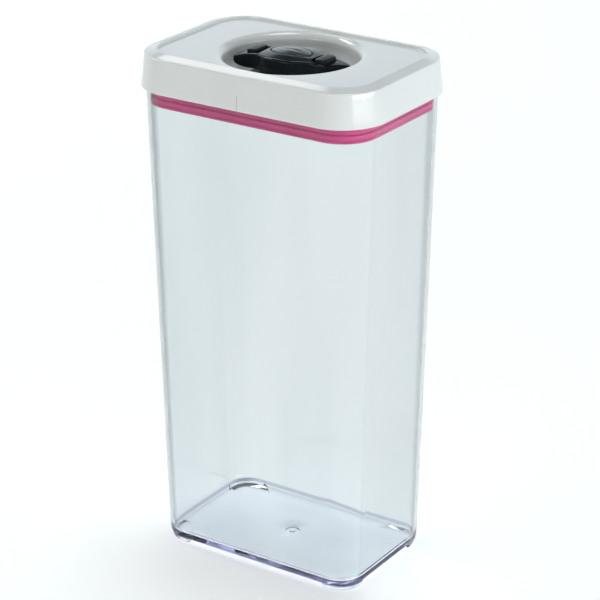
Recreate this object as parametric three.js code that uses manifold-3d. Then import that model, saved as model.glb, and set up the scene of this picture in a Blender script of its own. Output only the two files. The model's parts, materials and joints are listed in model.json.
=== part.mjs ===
// A tall food canister: a clear tapered container and a lid that seals by expanding a gasket.
//
// The lid is a white cover with a round well, a plug that enters the container's mouth, and a
// silicone gasket round the plug. Turning the handle in the well turns a coarse two-start screw.
// The screw draws a pressure plate upwards and squeezes the gasket out against the mouth.
// The canister is modelled closed and sealed, with the handle along the long side.
//
// Millimetres. +X runs along the long side, -Y is the front and +Z is up. The origin lies on the
// surface that the feet stand on, under the canister's centre.

import * as THREE from "three";
import { mergeVertices } from "three/addons/utils/BufferGeometryUtils.js";
import Module from "manifold-3d";

const wasm = await Module();
wasm.setup();

// ---------------------------------------------------------------------------------------------
// Driving dimensions
// ---------------------------------------------------------------------------------------------

const GAP = 0.3; // between pieces that touch
const CORNER_STEPS = 5; // facets in each rounded corner
const ROUND_STEPS = 28; // facets round a turned piece
const SMALL_STEPS = 10; // facets round a screw or a boss

// Container: a rounded rectangle that grows from the base to the mouth and is straight above it.
const BASE = { length: 129.5, width: 83.4, radius: 15 };
const MOUTH = { length: 143.8, width: 97.5, radius: 22 };
const FOOT_HEIGHT = 2.2;
const MOUTH_Z = 273;
const RIM_Z = 281.6;
const WALL = 1.8;
const FLOOR = 3;
const BASE_ROUND = 3;
const RIM_ROUND = WALL / 2;
const FLOOR_ROUND = 4;
const FOOT_INSET = 1.2;
const FOOT_WIDTH = 2.5;
const FOOT_REACH = 16; // how far a foot runs from each end of the base

// Lid cover: a drafted skirt, a bevelled rim and a panel set a little below the rim's crest.
// Inside, a ledge rests on the container's rim.
const SKIRT = { length: 150, width: 103.7, radius: 26.4 };
const SHOULDER = { length: 146, width: 99.6, radius: 24.2 };
const SKIRT_Z = 273;
const SHOULDER_Z = 289.8;
const LID_TOP = 293.3;
const RIM_WIDTH = 6.8; // from the shoulder in to the rim's crest
const BEVEL = { inset: 1.8, slope: 0.265 };
const RIM_STEP = 0.8; // width of the step from the crest down to the panel
const PANEL_Z = 292;
const SKIRT_WALL = 1.7;
const SKIRT_INSIDE_RADIUS = 24;
const LEDGE_CLEARANCE = 0.4; // round the container's rim
const LEDGE_WIDTH = 1.7;
const PANEL_WALL = 2.2;

// Well in the lid cover: a round bowl with a bearing hole in its floor.
const WELL_RADIUS = 36.5;
const WELL_FLOOR_RADIUS = 25;
const WELL_STEPS = 6; // facets up the bowl
const WELL_LIP = { width: 5, fall: 4, steps: 3 };
const WELL_FLOOR_Z = 276.6;
const WELL_WALL = 2;
const BEARING_RADIUS = 6.3;

// Plug: a tray under the cover. Its wall steps in below the flange to carry the gasket.
const PLUG_CLEARANCE = 1.6;
const PLUG_WALL = 1.6;
const FLANGE_CLEARANCE = 0.8;
const FLANGE_Z = 277.4;
const FLANGE_THICK = 1.8;
const CORE_BOTTOM_Z = 270.6;
const TRAY_FLOOR_Z = 272.8;
const TRAY_FLOOR_TOP_Z = 274.3;
const TRAY_HOLE_RADIUS = 14;

// Gasket: a ring with a slot inside for the pressure plate's edge.
const GASKET_BOTTOM_Z = 263.9;
const GASKET_GROOVE_Z = 268.8;
const GASKET_THICK = 4.5;
const GASKET_LIP = 6.5;
const GASKET_SLOT_DEPTH = 1.9;

// Pressure plate and lift nut.
const PLATE_Z = 267.8;
const PLATE_THICK = 2;
const RIB_THICK = 1.4;
const RIB_TOP_Z = 272.3;
const CROSS_RIB_TOP_Z = [271.8, 271.4]; // along Y and along X
const PERIMETER_RIB_INSET = 9;
const RIB_PLACES_X = [-30, 30];
const RIB_PLACES_Y = [-14, 14];
const NUT_FLANGE_RADIUS = 12;
const NUT_RADIUS = 8.5;
const NUT_BOTTOM_Z = 265.8;
const NUT_TOP_Z = 272.5;

// Spindle, its two-start thread and the pieces on it.
const SHAFT_RADIUS = 6;
const THREAD_CORE = 5; // mean radius of the thread
const THREAD_DEPTH = 0.9; // half the height of a thread
const THREAD_STEPS = 20; // facets round the thread
const THREAD_LEAD = 10; // rise in one turn, so a quarter turn moves the plate 2.5
const THREAD_TOP_Z = 273;
const THREAD_LEVEL = 1.3; // rise between the thread's rings
const SPINDLE_BOTTOM_Z = 267.5;
const CLIP_GROOVE_RADIUS = 4.6;
const CLIP_RADIUS = 9;
const CLIP_Z = 273.3;
const CLIP_THICK = 1;
const RING_GROOVE_Z = [274.9, 276.3];
const RING_TUBE = 0.5;
const WASHER_THICK = 0.6;
const WASHER_RADIUS = 11;
const SPINDLE_FLANGE_RADIUS = 10.5;
const SPINDLE_FLANGE_THICK = 2;
const DRIVE_SIDE = 9;
const DRIVE_TOP_Z = 288;

// Handle: a hollow bar with a domed hub, closed below by a round base.
const HANDLE_TOP = 293.8;
const HANDLE_SLOPE = 0.19;
const HANDLE_BLEND = 5;
const HANDLE_BAR_Z = 282.2;
const HANDLE_HUB_Z = 279.8;
const HANDLE_HUB_RADIUS = 15;
const HANDLE_TOP_THICK = 4.5;
const HANDLE_WALL = 2;
const HANDLE_POST_RADIUS = 8.1; // round the square socket
const HANDLE_BASE_RADIUS = 24;
const HANDLE_BASE_Z = [277.8, 279.5];
const BADGE = { length: 24, width: 14, bottom: 291.7, groove: 0.8 };
const PAD = { length: 7.2, width: 12.8, radius: 2.4, x: 20.9, y: 1.4, bottom: 289.6, top: 292.7 };
const PAD_GROOVE = 1.8; // open pocket on the hub's side of each pad
const HANDLE_SCREW = { head: 3.8, headZ: [289.5, 291.1], shank: 1.6, tip: 280.1 };

// Right half of the handle's outline, from the middle of its front to the middle of its back.
// The left half is the same, turned half a turn.
const HANDLE_OUTLINE = [
  [0, -15.3],
  [7.5, -14.1],
  [12.4, -10.8],
  [16.5, -8.2],
  [23, -6.8],
  [26, -4.2],
  [29.5, 1.5],
  [32, 7],
  [30.6, 10.2],
  [26.5, 9.9],
  [19.5, 9.2],
  [15.5, 9.8],
  [12, 11.9],
  [7.5, 14.2],
];

// Screws that hold the plug to bosses under the cover.
const SCREW_PLACES = [
  [54, 31],
  [-54, 31],
  [-54, -31],
  [54, -31],
  [50, 0],
  [-50, 0],
];
const BOSS_RADIUS = 3.4;
const PILOT_RADIUS = 1.7;
const HOUSING_SCREW = { head: 3, headZ: [270.9, 272.5], shank: 1.4, tip: 282.6 };

// ---------------------------------------------------------------------------------------------
// Materials
// ---------------------------------------------------------------------------------------------

const material = (color, roughness, extra = {}) =>
  new THREE.MeshStandardMaterial({ color, roughness, metalness: 0, ...extra });

const clearPlastic = material(0xdfe9ea, 0.08, { transparent: true, opacity: 0.3 });
const whitePlastic = material(0xd4dbdc, 0.28);
const naturalPlastic = material(0xe4e6e2, 0.45);
const gasketSilicone = material(0xb8487a, 0.5);
const handlePlastic = material(0x2e373d, 0.22);
const padPlastic = material(0x5f6c6e, 0.4);
const badgePlastic = material(0x4a5660, 0.25);
const acetal = material(0xe9e9e4, 0.4);
const blackRubber = material(0x1c1c1c, 0.6);
const steel = material(0x9a9da0, 0.3, { metalness: 1 });

// ---------------------------------------------------------------------------------------------
// Shapes
// ---------------------------------------------------------------------------------------------

// A closed three.js geometry as a manifold-3d solid.
function solid(geometry) {
  const bare = geometry.clone();
  bare.deleteAttribute("normal");
  bare.deleteAttribute("uv");
  const merged = mergeVertices(bare, 1e-4);
  const vertProperties = merged.attributes.position.array;
  const triVerts = new Uint32Array(merged.index.array);
  return new wasm.Manifold(new wasm.Mesh({ numProp: 3, vertProperties, triVerts }));
}

// A manifold-3d solid as a flat-shaded three.js geometry.
function geometryOf(piece) {
  const { numProp, numVert, vertProperties, triVerts } = piece.getMesh();
  const positions = new Float32Array(numVert * 3);
  for (let i = 0; i < numVert; i++) {
    positions.set(vertProperties.subarray(i * numProp, i * numProp + 3), i * 3);
  }
  const indexed = new THREE.BufferGeometry();
  indexed.setAttribute("position", new THREE.BufferAttribute(positions, 3));
  indexed.setIndex(new THREE.BufferAttribute(triVerts, 1));
  const geometry = indexed.toNonIndexed();
  geometry.computeVertexNormals();
  return geometry;
}

// A rounded rectangle made smaller on every side.
function inset({ length, width, radius }, by) {
  return { length: length - 2 * by, width: width - 2 * by, radius: radius - by };
}

// A rounded rectangle part of the way from one to another.
function between(low, high, part) {
  const mix = (key) => THREE.MathUtils.lerp(low[key], high[key], part);
  return { length: mix("length"), width: mix("width"), radius: mix("radius") };
}

// The corner points of a rounded rectangle at a height, anticlockwise.
function ring({ length, width, radius }, z) {
  const points = [];
  const corners = [
    [1, -1],
    [1, 1],
    [-1, 1],
    [-1, -1],
  ];
  corners.forEach(([sideX, sideY], corner) => {
    for (let step = 0; step <= CORNER_STEPS; step++) {
      const angle = (Math.PI / 2) * (corner - 1 + step / CORNER_STEPS);
      const x = sideX * (length / 2 - radius) + radius * Math.cos(angle);
      const y = sideY * (width / 2 - radius) + radius * Math.sin(angle);
      points.push(new THREE.Vector3(x, y, z));
    }
  });
  return points;
}

// A skin through rings of equally many points: up the outside, then down any inside.
// It is capped at both ends, unless the last ring joins the first again.
function loft(rings, closed = false) {
  const count = rings[0].length;
  const faces = [];
  const spans = closed ? rings.length : rings.length - 1;
  for (let span = 0; span < spans; span++) {
    const low = span * count;
    const high = ((span + 1) % rings.length) * count;
    for (let i = 0; i < count; i++) {
      const next = (i + 1) % count;
      faces.push(low + i, low + next, high + next);
      faces.push(low + i, high + next, high + i);
    }
  }
  if (!closed) {
    const end = (rings.length - 1) * count;
    for (let i = 1; i < count - 1; i++) {
      faces.push(0, i + 1, i);
      faces.push(end, end + i, end + i + 1);
    }
  }
  const geometry = new THREE.BufferGeometry().setFromPoints(rings.flat());
  geometry.setIndex(faces);
  return solid(geometry);
}

// A solid of revolution about Z from [radius, z] pairs, listed from the bottom up the outside.
function turned(profile, steps = ROUND_STEPS) {
  const points = profile.map(([radius, z]) => new THREE.Vector2(radius, z));
  return solid(new THREE.LatheGeometry(points, steps).rotateX(Math.PI / 2));
}

function cylinder(radius, bottom, top, x = 0, y = 0, steps = SMALL_STEPS) {
  const height = top - bottom;
  const geometry = new THREE.CylinderGeometry(radius, radius, height, steps);
  return solid(geometry.rotateX(Math.PI / 2).translate(x, y, bottom + height / 2));
}

function tube(outside, inside, bottom, top) {
  const bore = cylinder(inside, bottom - 1, top + 1, 0, 0, ROUND_STEPS);
  return cylinder(outside, bottom, top, 0, 0, ROUND_STEPS).subtract(bore);
}

function box(low, high) {
  const size = high.map((value, axis) => value - low[axis]);
  const centre = high.map((value, axis) => (value + low[axis]) / 2);
  return solid(new THREE.BoxGeometry(...size).translate(...centre));
}

function extruded(shape, bottom, top, curveSegments = 8) {
  const settings = { depth: top - bottom, bevelEnabled: false, curveSegments };
  return solid(new THREE.ExtrudeGeometry(shape, settings).translate(0, 0, bottom));
}

function ellipse(length, width) {
  return new THREE.Shape().absellipse(0, 0, length / 2, width / 2, 0, 2 * Math.PI);
}

const group = new THREE.Group();

function add(name, piece, surface) {
  const mesh = new THREE.Mesh(geometryOf(piece), surface);
  mesh.name = name;
  group.add(mesh);
}

// ---------------------------------------------------------------------------------------------
// Container
// ---------------------------------------------------------------------------------------------

// The container's outer outline at a height, made smaller on every side.
function containerRing(by, z) {
  const part = THREE.MathUtils.clamp((z - FOOT_HEIGHT) / (MOUTH_Z - FOOT_HEIGHT), 0, 1);
  return ring(inset(between(BASE, MOUTH, part), by), z);
}

// Rings round a quarter circle that turns from one direction of the skin to the next.
function rounded(centreInset, centreZ, radius, fromDegrees, toDegrees, steps) {
  const rings = [];
  for (let step = 0; step <= steps; step++) {
    const degrees = THREE.MathUtils.lerp(fromDegrees, toDegrees, step / steps);
    const angle = THREE.MathUtils.degToRad(degrees);
    const by = centreInset - radius * Math.cos(angle);
    rings.push(containerRing(by, centreZ + radius * Math.sin(angle)));
  }
  return rings;
}

function makeContainer() {
  const floorTop = FOOT_HEIGHT + FLOOR;
  const shell = loft([
    ...rounded(BASE_ROUND, FOOT_HEIGHT + BASE_ROUND, BASE_ROUND, -90, 0, 3),
    containerRing(0, MOUTH_Z),
    ...rounded(RIM_ROUND, RIM_Z - RIM_ROUND, RIM_ROUND, 0, 180, 4),
    containerRing(WALL, MOUTH_Z),
    ...rounded(WALL + FLOOR_ROUND, floorTop + FLOOR_ROUND, FLOOR_ROUND, 0, -90, 3),
  ]);
  const footTop = FOOT_HEIGHT + BASE_ROUND / 2;
  const footRing = loft(
    [
      ring(inset(BASE, FOOT_INSET), 0),
      ring(inset(BASE, FOOT_INSET), footTop),
      ring(inset(BASE, FOOT_INSET + FOOT_WIDTH), footTop),
      ring(inset(BASE, FOOT_INSET + FOOT_WIDTH), 0),
    ],
    true,
  );
  const x = BASE.length / 2 - FOOT_REACH;
  const y = BASE.width / 2 - FOOT_REACH;
  const gapAlongX = box([-x, -BASE.width, -1], [x, BASE.width, footTop + 1]);
  const gapAlongY = box([-BASE.length, -y, -1], [BASE.length, y, footTop + 1]);
  return shell.add(footRing.subtract(gapAlongX).subtract(gapAlongY));
}

// ---------------------------------------------------------------------------------------------
// Lid cover
// ---------------------------------------------------------------------------------------------

// The well's inner surface as [radius, z] pairs from its floor to the panel.
function wellProfile(offset) {
  const height = PANEL_Z - WELL_FLOOR_Z;
  const points = [];
  for (let step = 0; step <= WELL_STEPS; step++) {
    const angle = (Math.PI / 2) * (step / WELL_STEPS);
    const radius = WELL_FLOOR_RADIUS + (WELL_RADIUS - WELL_FLOOR_RADIUS) * Math.sin(angle);
    const z = WELL_FLOOR_Z + (height - WELL_LIP.fall) * (1 - Math.cos(angle));
    points.push([radius + offset * Math.sin(angle), z - offset * Math.cos(angle)]);
  }
  return points;
}

// The rounded lip from the bowl's wall up to the panel.
function lipProfile() {
  const points = [];
  for (let step = 1; step <= WELL_LIP.steps; step++) {
    const angle = (Math.PI / 2) * (step / WELL_LIP.steps);
    const radius = WELL_RADIUS + WELL_LIP.width * (1 - Math.cos(angle));
    points.push([radius, PANEL_Z - WELL_LIP.fall * (1 - Math.sin(angle))]);
  }
  return points;
}

function makeLidCover() {
  const shoulder = (by, z) => ring(inset(SHOULDER, by), z);
  const bevelLow = LID_TOP - BEVEL.slope * (RIM_WIDTH - BEVEL.inset);
  const blank = loft([
    ring(inset(SKIRT, 0.6), SKIRT_Z),
    ring(SKIRT, SKIRT_Z + 0.6),
    shoulder(0, SHOULDER_Z),
    shoulder(0.15, bevelLow - 0.9),
    shoulder(0.6, bevelLow - 0.25),
    shoulder(BEVEL.inset, bevelLow),
    shoulder(RIM_WIDTH, LID_TOP),
    shoulder(RIM_WIDTH + RIM_STEP, PANEL_Z),
  ]);
  const ceiling = PANEL_Z - PANEL_WALL;
  const skirtInside = { ...inset(SKIRT, SKIRT_WALL), radius: SKIRT_INSIDE_RADIUS };
  const ledgeZ = RIM_Z + GAP;
  const hollow = loft([
    ring(skirtInside, SKIRT_Z - 1),
    ring(skirtInside, SKIRT_Z),
    ring(inset(MOUTH, -LEDGE_CLEARANCE), ledgeZ),
    ring(inset(MOUTH, LEDGE_WIDTH - LEDGE_CLEARANCE), ledgeZ),
    ring(inset(MOUTH, LEDGE_WIDTH - LEDGE_CLEARANCE), ceiling),
  ]);
  const wellInside = [
    [0, WELL_FLOOR_Z],
    ...wellProfile(0),
    ...lipProfile(),
    [WELL_RADIUS + WELL_LIP.width, PANEL_Z + 2],
    [0, PANEL_Z + 2],
  ];
  const wellOutside = [
    [0, WELL_FLOOR_Z - WELL_WALL],
    ...wellProfile(WELL_WALL),
    [WELL_RADIUS + WELL_LIP.width, ceiling],
    [WELL_RADIUS + WELL_LIP.width, PANEL_Z - 0.5],
    [0, PANEL_Z - 0.5],
  ];
  let cover = blank.subtract(hollow).add(turned(wellOutside)).subtract(turned(wellInside));
  cover = cover.subtract(cylinder(BEARING_RADIUS, WELL_FLOOR_Z - 5, WELL_FLOOR_Z + 5));
  const bossBottom = TRAY_FLOOR_TOP_Z + GAP;
  for (const [x, y] of SCREW_PLACES) {
    cover = cover.add(cylinder(BOSS_RADIUS, bossBottom, ceiling + 0.5, x, y));
    cover = cover.subtract(cylinder(PILOT_RADIUS, bossBottom - 1, ceiling - 2, x, y));
  }
  return cover;
}

// ---------------------------------------------------------------------------------------------
// Plug, gasket and pressure plate: all are offsets of the inside of the mouth
// ---------------------------------------------------------------------------------------------

const mouthRing = (by, z) => containerRing(WALL + by, z);
const CORE_INSET = GAP + GASKET_THICK + GAP;

function makePlugHousing() {
  const top = PANEL_Z - PANEL_WALL - GAP;
  const flangeTop = FLANGE_Z + FLANGE_THICK;
  const outside = loft([
    mouthRing(CORE_INSET, CORE_BOTTOM_Z),
    mouthRing(CORE_INSET, FLANGE_Z),
    mouthRing(FLANGE_CLEARANCE, FLANGE_Z),
    mouthRing(FLANGE_CLEARANCE, flangeTop),
    mouthRing(PLUG_CLEARANCE, flangeTop),
    mouthRing(PLUG_CLEARANCE, top),
  ]);
  const upperInset = PLUG_CLEARANCE + PLUG_WALL;
  const tray = loft([
    mouthRing(CORE_INSET + PLUG_WALL, TRAY_FLOOR_TOP_Z),
    mouthRing(CORE_INSET + PLUG_WALL, flangeTop),
    mouthRing(upperInset, flangeTop),
    mouthRing(upperInset, top + 1),
  ]);
  const under = loft([
    mouthRing(CORE_INSET + PLUG_WALL, CORE_BOTTOM_Z - 1),
    mouthRing(CORE_INSET + PLUG_WALL, TRAY_FLOOR_Z),
  ]);
  let housing = outside.subtract(tray).subtract(under);
  housing = housing.subtract(
    cylinder(TRAY_HOLE_RADIUS, CORE_BOTTOM_Z, TRAY_FLOOR_TOP_Z + 1, 0, 0, ROUND_STEPS),
  );
  for (const [x, y] of SCREW_PLACES) {
    const hole = cylinder(PILOT_RADIUS, TRAY_FLOOR_Z - 1, TRAY_FLOOR_TOP_Z + 1, x, y);
    housing = housing.subtract(hole);
  }
  return housing;
}

function makeGasket() {
  const top = FLANGE_Z - GAP;
  const slotTop = PLATE_Z + PLATE_THICK + GAP;
  const slotBottom = PLATE_Z - GAP;
  const inner = GASKET_THICK;
  const slot = GASKET_THICK - GASKET_SLOT_DEPTH;
  const section = [
    [1.1, GASKET_BOTTOM_Z],
    [0.2, GASKET_BOTTOM_Z + 0.6],
    [0, GASKET_BOTTOM_Z + 1.4],
    [0, GASKET_GROOVE_Z - 0.7],
    [1.2, GASKET_GROOVE_Z],
    [1.2, GASKET_GROOVE_Z + 0.8],
    [0, GASKET_GROOVE_Z + 1.5],
    [0, top - 1],
    [0.9, top],
    [inner, top],
    [inner, slotTop],
    [slot, slotTop],
    [slot, slotBottom],
    [GASKET_LIP, slotBottom],
    [GASKET_LIP, GASKET_BOTTOM_Z + 0.6],
    [GASKET_LIP - 0.6, GASKET_BOTTOM_Z],
  ];
  return loft(
    section.map(([by, z]) => mouthRing(GAP + by, z)),
    true,
  );
}

function makePressurePlate() {
  const edge = GAP + GASKET_THICK - GASKET_SLOT_DEPTH + GAP;
  const plateTop = PLATE_Z + PLATE_THICK;
  const sheet = loft([mouthRing(edge, PLATE_Z), mouthRing(edge, plateTop)]);
  const ribRing = loft(
    [
      mouthRing(PERIMETER_RIB_INSET, PLATE_Z + 1),
      mouthRing(PERIMETER_RIB_INSET, RIB_TOP_Z),
      mouthRing(PERIMETER_RIB_INSET + RIB_THICK, RIB_TOP_Z),
      mouthRing(PERIMETER_RIB_INSET + RIB_THICK, PLATE_Z + 1),
    ],
    true,
  );
  let plate = sheet.add(ribRing);
  const reachX = MOUTH.length / 2 - WALL - PERIMETER_RIB_INSET - RIB_THICK / 2;
  const reachY = MOUTH.width / 2 - WALL - PERIMETER_RIB_INSET - RIB_THICK / 2;
  const low = PLATE_Z + 1;
  const half = RIB_THICK / 2;
  for (const x of RIB_PLACES_X) {
    plate = plate.add(box([x - half, -reachY, low], [x + half, reachY, CROSS_RIB_TOP_Z[0]]));
  }
  for (const y of RIB_PLACES_Y) {
    plate = plate.add(box([-reachX, y - half, low], [reachX, y + half, CROSS_RIB_TOP_Z[1]]));
  }
  return plate.subtract(
    cylinder(NUT_RADIUS + GAP, PLATE_Z - 1, plateTop + 1, 0, 0, ROUND_STEPS),
  );
}

// ---------------------------------------------------------------------------------------------
// Spindle and nut
// ---------------------------------------------------------------------------------------------

// A two-start coarse screw: an oval section that turns as it rises.
function screwThread(extra, bottom, top) {
  const rings = [];
  const levels = Math.round((top - bottom) / THREAD_LEVEL);
  for (let level = 0; level <= levels; level++) {
    const z = THREE.MathUtils.lerp(bottom, top, level / levels);
    const twist = (2 * Math.PI * z) / THREAD_LEAD;
    const points = [];
    for (let step = 0; step < THREAD_STEPS; step++) {
      const angle = (2 * Math.PI * step) / THREAD_STEPS;
      const radius = THREAD_CORE + extra + THREAD_DEPTH * Math.cos(2 * (angle - twist));
      points.push(new THREE.Vector3(radius * Math.cos(angle), radius * Math.sin(angle), z));
    }
    rings.push(points);
  }
  return loft(rings);
}

const WASHER_Z = WELL_FLOOR_Z + GAP;
const SPINDLE_FLANGE_Z = WASHER_Z + WASHER_THICK + GAP;
const RING_RADIUS = BEARING_RADIUS - GAP - RING_TUBE - 0.05;

function makeSpindle() {
  const grooveTop = CLIP_Z + CLIP_THICK + GAP;
  const ringGroove = RING_RADIUS - RING_TUBE - GAP;
  const flangeTop = SPINDLE_FLANGE_Z + SPINDLE_FLANGE_THICK;
  const shaft = turned([
    [0, THREAD_TOP_Z - 0.5],
    [CLIP_GROOVE_RADIUS - 0.6, THREAD_TOP_Z - 0.5],
    [CLIP_GROOVE_RADIUS, THREAD_TOP_Z],
    [CLIP_GROOVE_RADIUS, grooveTop],
    [SHAFT_RADIUS, grooveTop],
    [SHAFT_RADIUS, RING_GROOVE_Z[0]],
    [ringGroove, RING_GROOVE_Z[0]],
    [ringGroove, RING_GROOVE_Z[1]],
    [SHAFT_RADIUS, RING_GROOVE_Z[1]],
    [SHAFT_RADIUS, SPINDLE_FLANGE_Z],
    [SPINDLE_FLANGE_RADIUS, SPINDLE_FLANGE_Z],
    [SPINDLE_FLANGE_RADIUS, flangeTop],
    [0, flangeTop],
  ]);
  const half = DRIVE_SIDE / 2;
  const drive = box([-half, -half, flangeTop - 1], [half, half, DRIVE_TOP_Z]);
  const pilot = cylinder(HANDLE_SCREW.shank + GAP, HANDLE_SCREW.tip - 1, DRIVE_TOP_Z + 1);
  const thread = screwThread(0, SPINDLE_BOTTOM_Z, THREAD_TOP_Z);
  return shaft.add(thread).add(drive).subtract(pilot);
}

function makeLiftNut() {
  const body = turned([
    [0, NUT_BOTTOM_Z],
    [NUT_FLANGE_RADIUS - 0.8, NUT_BOTTOM_Z],
    [NUT_FLANGE_RADIUS, NUT_BOTTOM_Z + 0.6],
    [NUT_FLANGE_RADIUS, PLATE_Z - GAP],
    [NUT_RADIUS, PLATE_Z - GAP],
    [NUT_RADIUS, NUT_TOP_Z],
    [0, NUT_TOP_Z],
  ]);
  return body.subtract(screwThread(0.4, SPINDLE_BOTTOM_Z - 0.5, NUT_TOP_Z + 1));
}

function makeRetainingClip() {
  const inside = CLIP_GROOVE_RADIUS + GAP;
  const halfMouth = inside * 0.8;
  const disc = tube(CLIP_RADIUS, inside, CLIP_Z, CLIP_Z + CLIP_THICK);
  const mouth = box([0, -halfMouth, CLIP_Z - 1], [CLIP_RADIUS + 1, halfMouth, CLIP_Z + 2]);
  return disc.subtract(mouth);
}

function makeSpindleWasher() {
  return tube(WASHER_RADIUS, BEARING_RADIUS, WASHER_Z, WASHER_Z + WASHER_THICK);
}

function makeSpindleRing() {
  const middle = (RING_GROOVE_Z[0] + RING_GROOVE_Z[1]) / 2;
  const torus = new THREE.TorusGeometry(RING_RADIUS, RING_TUBE, 8, ROUND_STEPS);
  return solid(torus.translate(0, 0, middle));
}

// A pan-head screw with a cross recess, pointing up or down along Z.
function makeScrew({ head, headZ, shank, tip }, x, y, pointsUp) {
  const [low, high] = headZ;
  const seat = pointsUp ? high : low;
  const crown = pointsUp ? low : high;
  const inward = pointsUp ? 1 : -1;
  const cone = tip - inward * shank;
  const profile = [
    [0, crown],
    [head * 0.7, crown],
    [head, crown + inward * 0.5],
    [head, seat],
    [shank, seat],
    [shank, cone],
    [shank * 0.35, tip],
    [0, tip],
  ];
  if (!pointsUp) profile.reverse();
  let screw = turned(profile, SMALL_STEPS);
  const depth = crown + inward * 0.9;
  const bottom = Math.min(crown - inward, depth);
  const top = Math.max(crown - inward, depth);
  const long = head * 0.55;
  const narrow = head * 0.14;
  screw = screw.subtract(box([-long, -narrow, bottom], [long, narrow, top]));
  screw = screw.subtract(box([-narrow, -long, bottom], [narrow, long, top]));
  return screw.translate([x, y, 0]);
}

// ---------------------------------------------------------------------------------------------
// Handle
// ---------------------------------------------------------------------------------------------

// The handle's top slopes away from its centre like a blunt cone.
function handleDome(drop) {
  const reach = WELL_RADIUS;
  const profile = [
    [0, HANDLE_HUB_Z - 1],
    [reach, HANDLE_HUB_Z - 1],
  ];
  for (let step = 12; step >= 0; step--) {
    const radius = (reach * step) / 12;
    const fall = HANDLE_SLOPE * (Math.hypot(radius, HANDLE_BLEND) - HANDLE_BLEND);
    profile.push([radius, HANDLE_TOP - drop - fall]);
  }
  return turned(profile);
}

function handleShape() {
  const right = HANDLE_OUTLINE.map(([x, y]) => new THREE.Vector3(x, y, 0));
  const left = HANDLE_OUTLINE.map(([x, y]) => new THREE.Vector3(-x, -y, 0));
  const curve = new THREE.CatmullRomCurve3([...right, ...left], true, "centripetal");
  const points = curve.getPoints(48).slice(0, -1);
  return new THREE.Shape(points.map(({ x, y }) => new THREE.Vector2(x, y)));
}

function makeGripPad(side) {
  const pad = loft([
    ring(PAD, PAD.bottom),
    ring(PAD, PAD.top - 0.6),
    ring(inset(PAD, 0.6), PAD.top),
  ]);
  return pad.translate([side * PAD.x, side * PAD.y, 0]);
}

// The space for a pad in the handle, longer towards the hub than the pad is.
function padPocket(side) {
  const outline = inset(PAD, -GAP);
  outline.length += PAD_GROOVE;
  const pocket = loft([ring(outline, PAD.bottom - GAP), ring(outline, HANDLE_TOP + 1)]);
  return pocket.translate([side * (PAD.x - PAD_GROOVE / 2), side * PAD.y, 0]);
}

function makeHandleShell() {
  const above = HANDLE_TOP + 1;
  const bar = extruded(handleShape(), HANDLE_BAR_Z, above).intersect(handleDome(0));
  const shrink = 1 + HANDLE_WALL / HANDLE_OUTLINE[0][1];
  const barHollow = extruded(handleShape(), HANDLE_BAR_Z - 1, above)
    .scale([shrink, shrink, 1])
    .intersect(handleDome(HANDLE_TOP_THICK));
  const hubInside = HANDLE_HUB_RADIUS - HANDLE_WALL;
  const hub = tube(HANDLE_HUB_RADIUS, hubInside, HANDLE_HUB_Z, HANDLE_BAR_Z + 1);
  const postBottom = SPINDLE_FLANGE_Z + SPINDLE_FLANGE_THICK + GAP;
  const post = cylinder(HANDLE_POST_RADIUS, postBottom, HANDLE_TOP - HANDLE_TOP_THICK + 1);
  const half = DRIVE_SIDE / 2 + GAP;
  const socket = box([-half, -half, HANDLE_HUB_Z - 1], [half, half, DRIVE_TOP_Z + GAP]);
  const badgeHole = ellipse(BADGE.length + 2 * BADGE.groove, BADGE.width + 2 * BADGE.groove);
  const { head, headZ, shank } = HANDLE_SCREW;
  return bar
    .subtract(barHollow)
    .add(hub)
    .add(post)
    .subtract(socket)
    .subtract(extruded(badgeHole, BADGE.bottom - GAP, above))
    .subtract(cylinder(head + GAP, headZ[0] - GAP, above))
    .subtract(cylinder(shank + GAP, DRIVE_TOP_Z - 1, above))
    .subtract(padPocket(-1))
    .subtract(padPocket(1));
}

function makeHandleBase() {
  const [bottom, top] = HANDLE_BASE_Z;
  const disc = turned([
    [0, bottom],
    [HANDLE_BASE_RADIUS - 0.5, bottom],
    [HANDLE_BASE_RADIUS, bottom + 0.5],
    [HANDLE_BASE_RADIUS, top - 0.5],
    [HANDLE_BASE_RADIUS - 0.5, top],
    [0, top],
  ]);
  const bore = cylinder(SPINDLE_FLANGE_RADIUS + GAP, bottom - 1, top + 1, 0, 0, ROUND_STEPS);
  return disc.subtract(bore);
}

function makeBadge() {
  const plate = extruded(ellipse(BADGE.length, BADGE.width), BADGE.bottom, HANDLE_TOP + 1);
  return plate.intersect(handleDome(-GAP / 2));
}

// ---------------------------------------------------------------------------------------------
// Assembly
// ---------------------------------------------------------------------------------------------

add("container_body", makeContainer(), clearPlastic);
add("lid_cover", makeLidCover(), whitePlastic);
add("plug_housing", makePlugHousing(), naturalPlastic);
add("gasket", makeGasket(), gasketSilicone);
add("pressure_plate", makePressurePlate(), naturalPlastic);
add("lift_nut", makeLiftNut(), acetal);
add("spindle", makeSpindle(), acetal);
add("spindle_washer", makeSpindleWasher(), acetal);
add("spindle_o_ring", makeSpindleRing(), blackRubber);
add("retaining_clip", makeRetainingClip(), steel);
add("handle_shell", makeHandleShell(), handlePlastic);
add("handle_base", makeHandleBase(), handlePlastic);
add("handle_badge", makeBadge(), badgePlastic);
add("handle_screw", makeScrew(HANDLE_SCREW, 0, 0, false), steel);
for (const [name, side] of [
  ["left", -1],
  ["right", 1],
]) {
  add(`grip_pad_${name}`, makeGripPad(side), padPlastic);
}
SCREW_PLACES.forEach(([x, y], index) => {
  add(`housing_screw_${index + 1}`, makeScrew(HOUSING_SCREW, x, y, true), steel);
});

export default group;
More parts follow.
